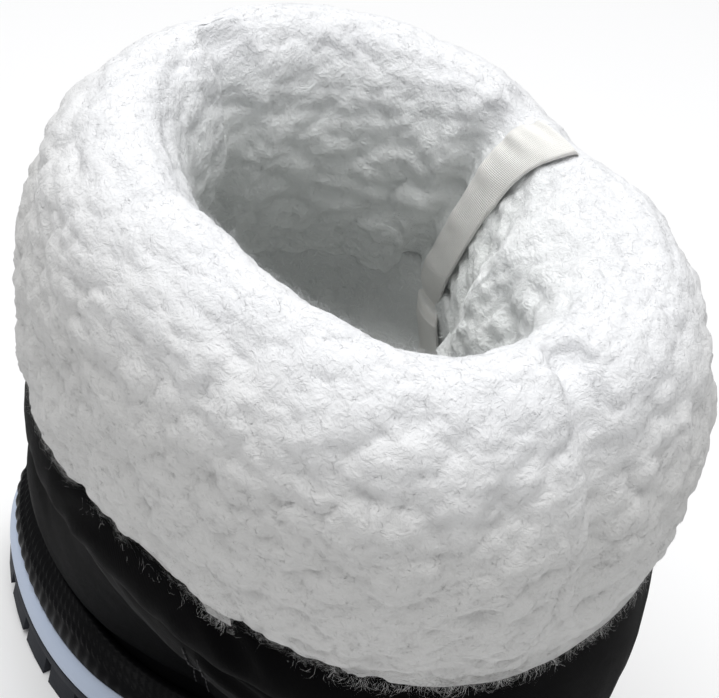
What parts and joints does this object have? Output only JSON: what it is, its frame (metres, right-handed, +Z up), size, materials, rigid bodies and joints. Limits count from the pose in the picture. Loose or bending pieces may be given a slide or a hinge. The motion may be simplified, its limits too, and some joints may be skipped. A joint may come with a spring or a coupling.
{
  "type": "snow boot",
  "caption": "Pull-on left snow boot with a padded black upper, a thick white fleece cuff rolled over the collar, and a lugged rubber sole with toe spring.",
  "frame": {"origin": "on the ground under the middle of the heel, at the flat of the heel tread", "axes": "+X towards the toe, +Y towards the boot's left, the little toe's side, +Z up along the shaft"},
  "size_m": [0.293, 0.1522, 0.2765],
  "materials": {
    "outsole_rubber": "matt moulded rubber",
    "stripe_foam": "pale blue-grey moulded foam",
    "foxing_rubber": "black moulded rubber, slightly worn",
    "upper_cloth": "black coated cloth over padding",
    "fleece": "long curly white fleece",
    "tape_cloth": "cream ribbed cloth",
    "insole_fleece": "short off-white fleece"
  },
  "bodies": {
    "root": {"outsole": "outsole_rubber", "midsole_stripe": "stripe_foam", "foxing": "foxing_rubber", "upper": "upper_cloth", "fleece_cuff": "fleece", "seam_tape": "tape_cloth", "insole": "insole_fleece"}
  },
  "joints": []
}
